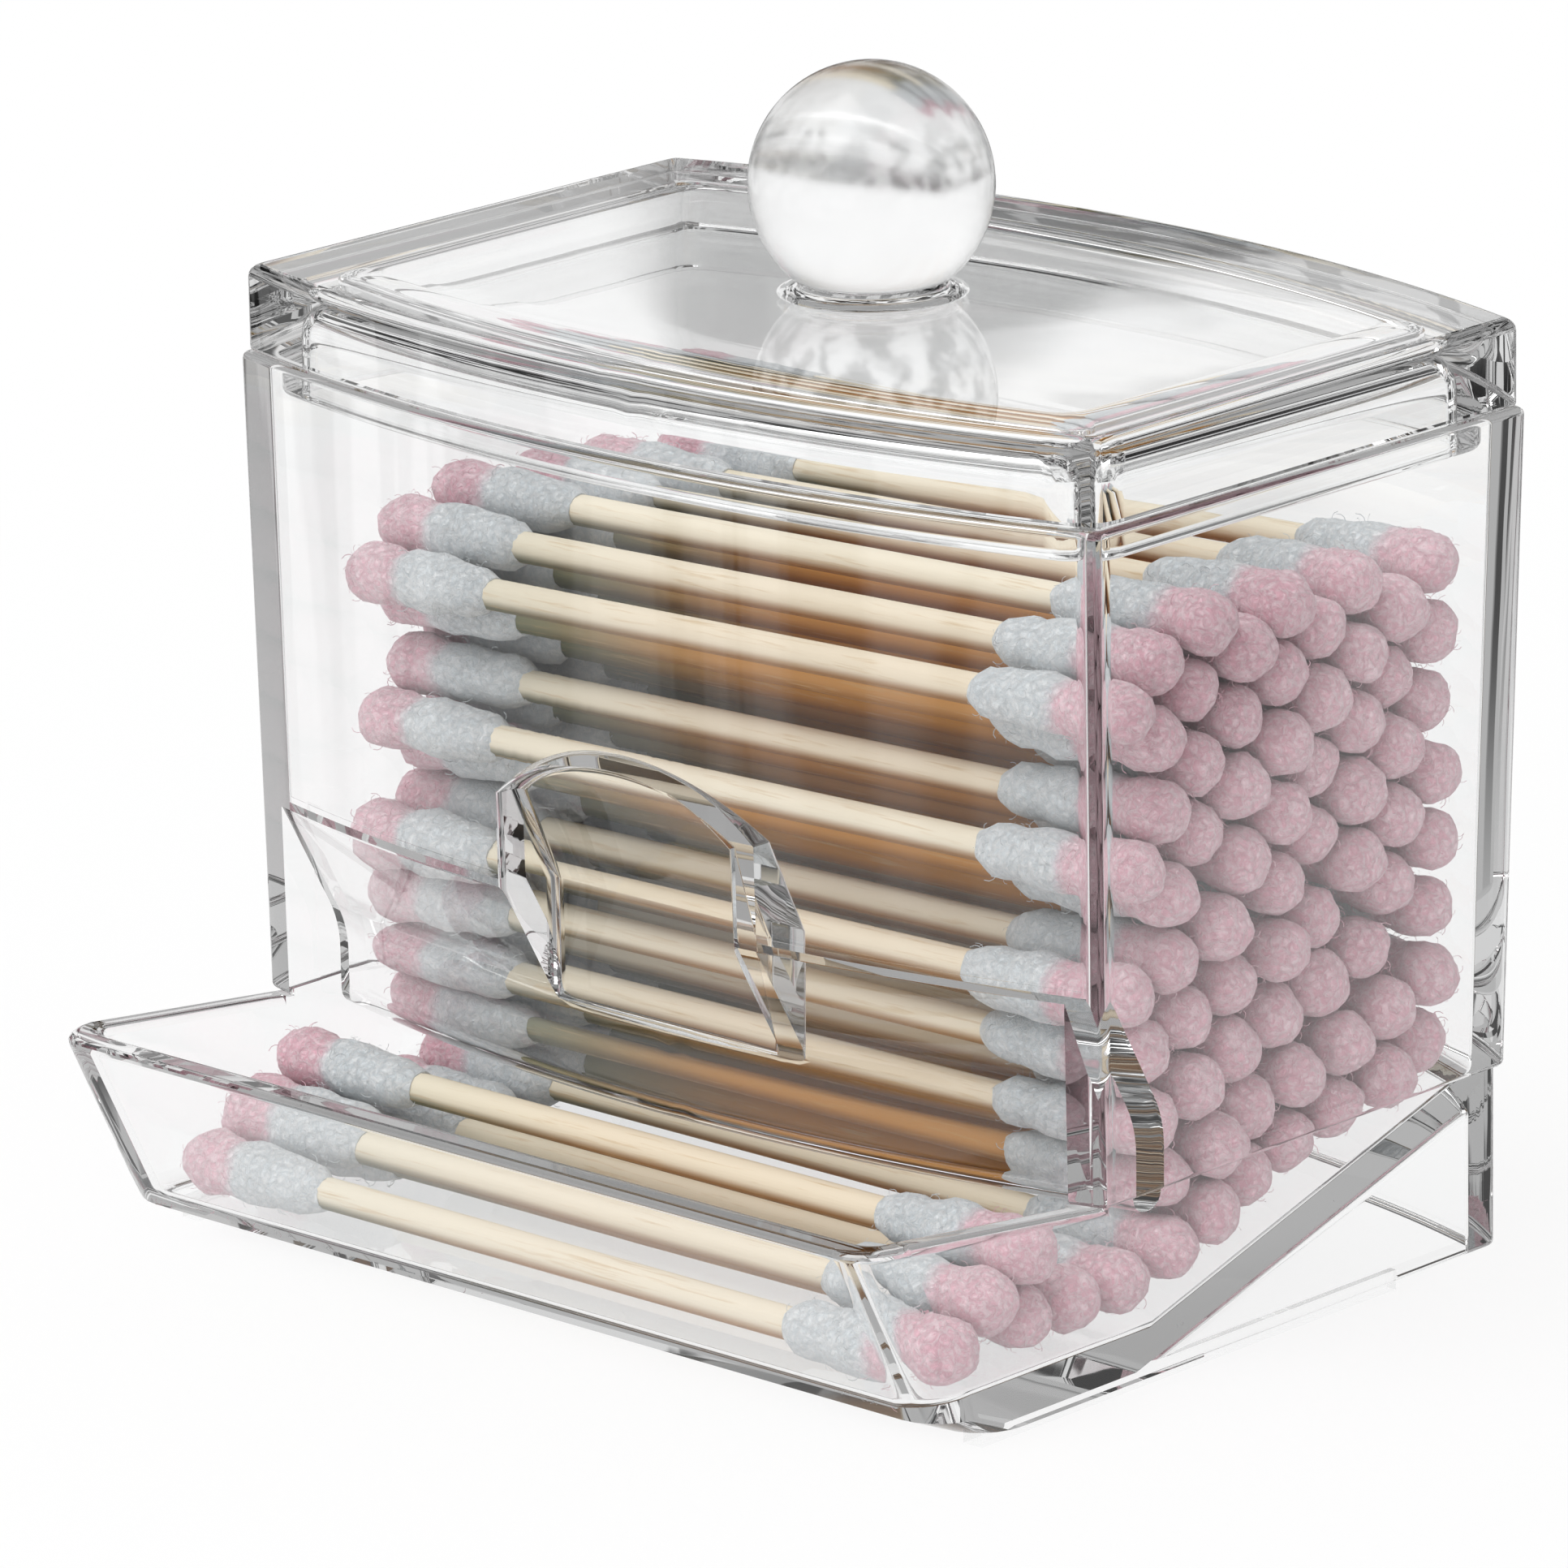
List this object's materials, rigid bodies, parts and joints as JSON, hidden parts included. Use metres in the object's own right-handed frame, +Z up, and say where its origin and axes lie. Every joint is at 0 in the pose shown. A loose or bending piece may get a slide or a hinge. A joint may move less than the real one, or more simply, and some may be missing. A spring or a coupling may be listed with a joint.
{
  "type": "cotton swab dispenser box",
  "caption": "Clear plastic cotton swab dispenser: bowed box with a sloping floor, a front tray, an arched finger recess and a lift-off lid with a ball knob.",
  "frame": {"origin": "on the surface that it stands on, under the middle of the whole box from the tray's lip to the bowed back", "axes": "+Z up, -Y towards the front tray, +X to the right seen from the front, along the swabs"},
  "size_m": [0.088, 0.0804, 0.0914],
  "materials": {
    "clear_box": "clear moulded plastic, polished",
    "clear_lid": "clear moulded plastic, polished",
    "clear_knob": "clear solid ball, polished",
    "cotton": "wound cotton, matt and fuzzy",
    "bare_wood": "plain birch or bamboo, unvarnished"
  },
  "bodies": {
    "box": {"dispenser_body": "clear_box", "heads_in_tray": "cotton", "heads_layer_01": "cotton", "heads_layer_02": "cotton", "heads_layer_03": "cotton", "heads_layer_04": "cotton", "heads_layer_05": "cotton", "heads_layer_06": "cotton", "heads_layer_07": "cotton", "heads_layer_08": "cotton", "heads_layer_09": "cotton", "heads_layer_10": "cotton", "heads_layer_11": "cotton", "heads_layer_12": "cotton", "sticks_in_tray": "bare_wood", "sticks_layer_01": "bare_wood", "sticks_layer_02": "bare_wood", "sticks_layer_03": "bare_wood", "sticks_layer_04": "bare_wood", "sticks_layer_05": "bare_wood", "sticks_layer_06": "bare_wood", "sticks_layer_07": "bare_wood", "sticks_layer_08": "bare_wood", "sticks_layer_09": "bare_wood", "sticks_layer_10": "bare_wood", "sticks_layer_11": "bare_wood", "sticks_layer_12": "bare_wood"},
    "lid": {"dispenser_lid": "clear_lid", "lid_knob": "clear_knob"}
  },
  "joints": [
    {"name": "lid_lift", "type": "slide", "parent": "box", "child": "lid", "axis": [0, 0, 1], "range_m": [0, 0.05]}
  ]
}
